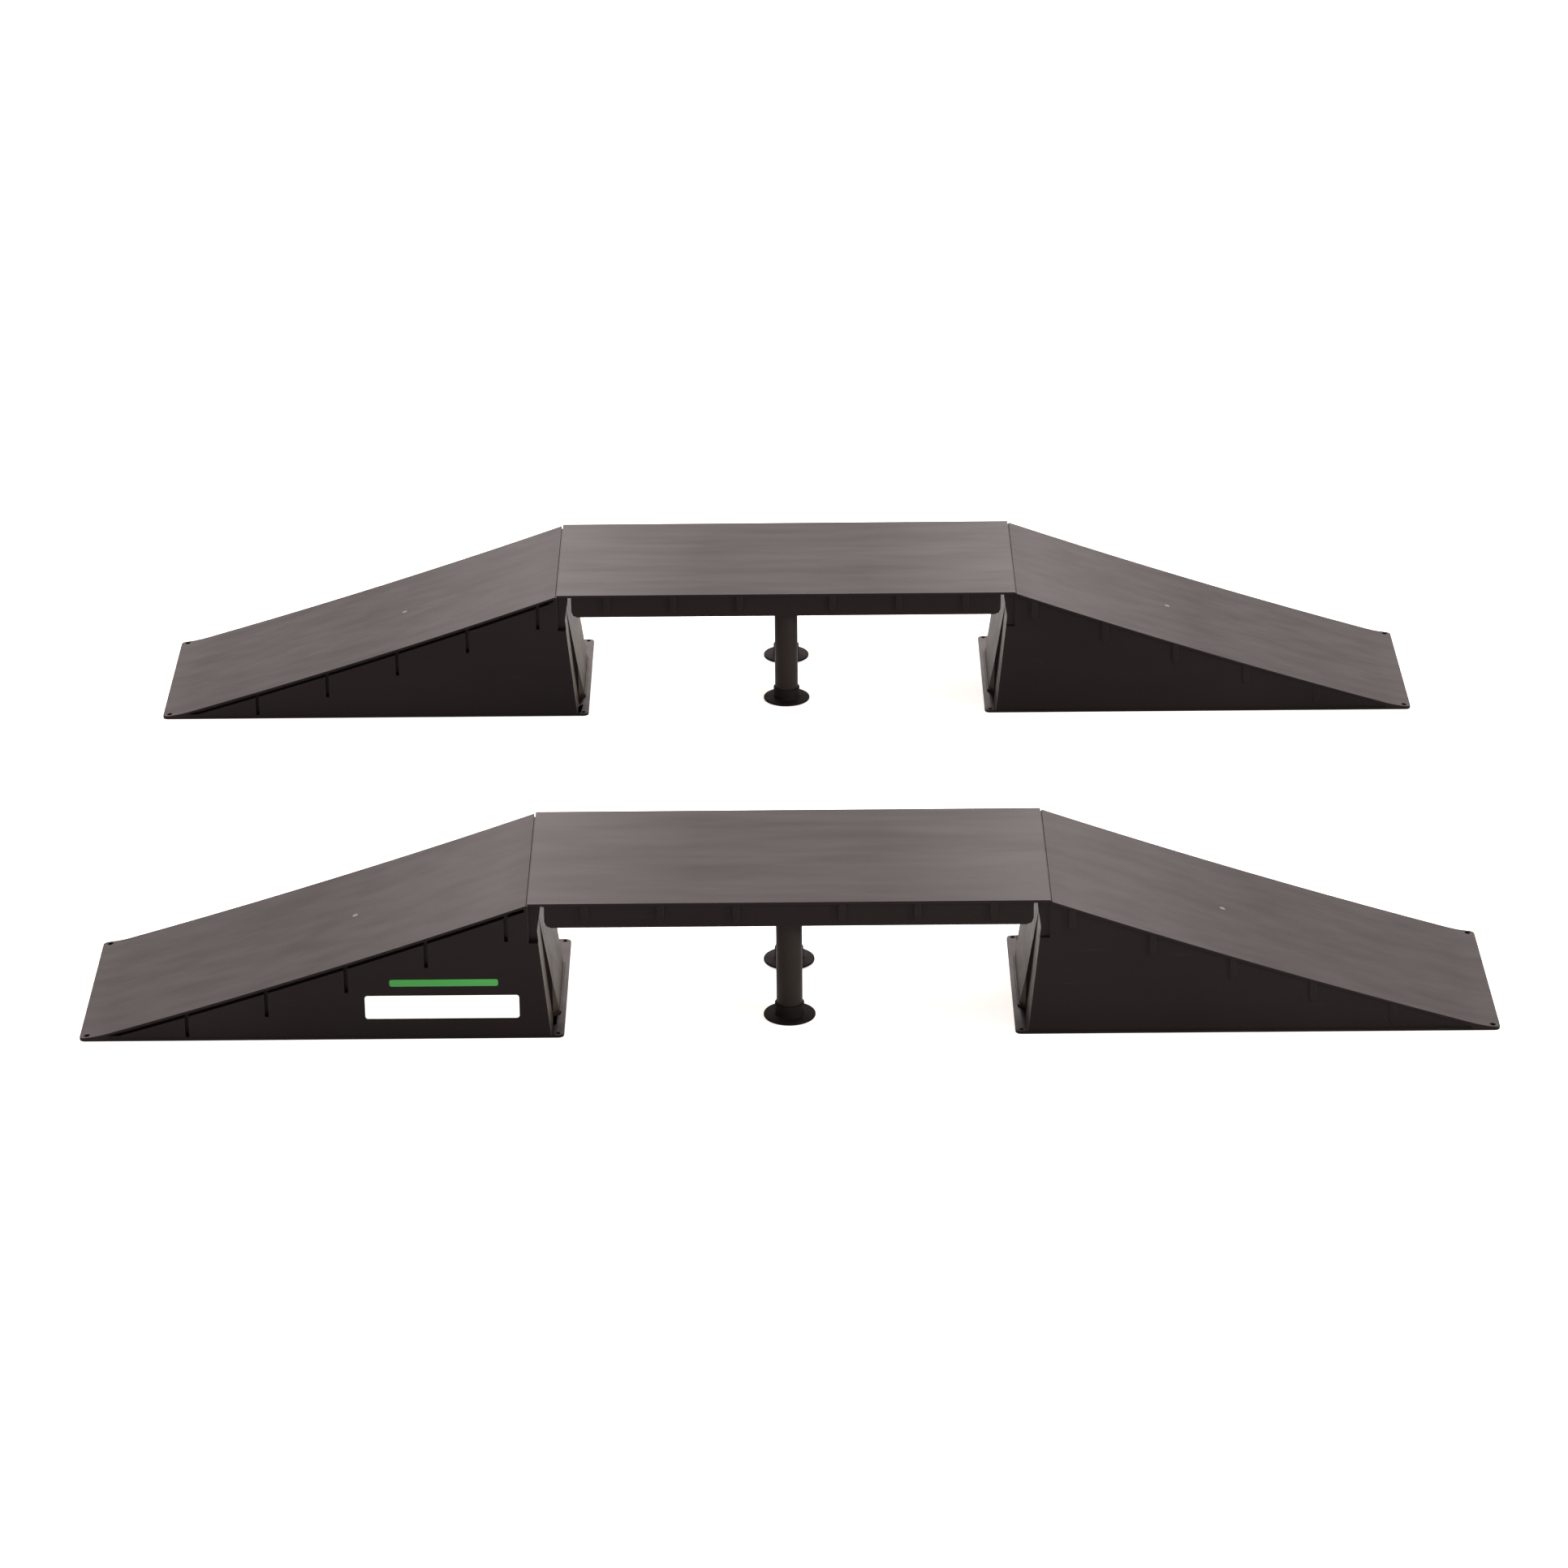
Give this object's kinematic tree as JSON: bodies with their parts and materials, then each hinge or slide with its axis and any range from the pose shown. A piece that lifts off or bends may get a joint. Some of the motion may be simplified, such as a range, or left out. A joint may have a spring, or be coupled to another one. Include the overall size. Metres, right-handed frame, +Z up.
{
  "type": "tabletop ramp set",
  "caption": "Moulded plastic tabletop ramp sets: each has a kicker ramp at both ends and a raised flat deck between them on round legs with disc feet.",
  "frame": {"origin": "on the floor, under the middle of the two sets together", "axes": "+X along the length of a set, towards its right ramp; +Y from the front set to the rear set; +Z up"},
  "size_m": [2.494, 1.86, 0.258],
  "materials": {
    "ramp_plastic": "matt black moulded polyethylene with a fine grain",
    "leg_plastic": "satin black extruded and moulded plastic",
    "print_white": "matt white print",
    "print_green": "matt green print"
  },
  "bodies": {
    "front_ramp_left": {"front_ramp_left": "ramp_plastic", "front_print_bar": "print_white", "front_print_stripe": "print_green"},
    "front_ramp_right": {"front_ramp_right": "ramp_plastic"},
    "front_deck": {"front_deck": "ramp_plastic"},
    "front_leg_near": {"front_leg_near": "leg_plastic", "front_foot_near": "leg_plastic"},
    "front_leg_far": {"front_leg_far": "leg_plastic", "front_foot_far": "leg_plastic"},
    "rear_ramp_left": {"rear_ramp_left": "ramp_plastic"},
    "rear_ramp_right": {"rear_ramp_right": "ramp_plastic"},
    "rear_deck": {"rear_deck": "ramp_plastic"},
    "rear_leg_near": {"rear_leg_near": "leg_plastic", "rear_foot_near": "leg_plastic"},
    "rear_leg_far": {"rear_leg_far": "leg_plastic", "rear_foot_far": "leg_plastic"}
  },
  "joints": [
    {"name": "rear_set_shift", "type": "slide", "parent": "front_ramp_left", "child": "rear_ramp_left", "axis": [0, -1, 0], "range_m": [0, 1]},
    {"name": "front_ramp_right_pull", "type": "slide", "parent": "front_ramp_left", "child": "front_ramp_right", "axis": [1, 0, 0], "range_m": [0, 0.15]},
    {"name": "front_deck_lift", "type": "slide", "parent": "front_ramp_left", "child": "front_deck", "axis": [0, 0, 1], "range_m": [0, 0.12]},
    {"name": "front_leg_near_slide", "type": "slide", "parent": "front_deck", "child": "front_leg_near", "axis": [0, 0, -1], "range_m": [0, 0.12]},
    {"name": "front_leg_far_slide", "type": "slide", "parent": "front_deck", "child": "front_leg_far", "axis": [0, 0, -1], "range_m": [0, 0.12]},
    {"name": "rear_ramp_right_pull", "type": "slide", "parent": "rear_ramp_left", "child": "rear_ramp_right", "axis": [1, 0, 0], "range_m": [0, 0.15]},
    {"name": "rear_deck_lift", "type": "slide", "parent": "rear_ramp_left", "child": "rear_deck", "axis": [0, 0, 1], "range_m": [0, 0.12]},
    {"name": "rear_leg_near_slide", "type": "slide", "parent": "rear_deck", "child": "rear_leg_near", "axis": [0, 0, -1], "range_m": [0, 0.12]},
    {"name": "rear_leg_far_slide", "type": "slide", "parent": "rear_deck", "child": "rear_leg_far", "axis": [0, 0, -1], "range_m": [0, 0.12]}
  ],
  "couplings": [
    {"joint": "front_leg_near_slide", "follows": "front_deck_lift", "ratio": 1},
    {"joint": "front_leg_far_slide", "follows": "front_deck_lift", "ratio": 1},
    {"joint": "rear_leg_near_slide", "follows": "rear_deck_lift", "ratio": 1},
    {"joint": "rear_leg_far_slide", "follows": "rear_deck_lift", "ratio": 1}
  ]
}
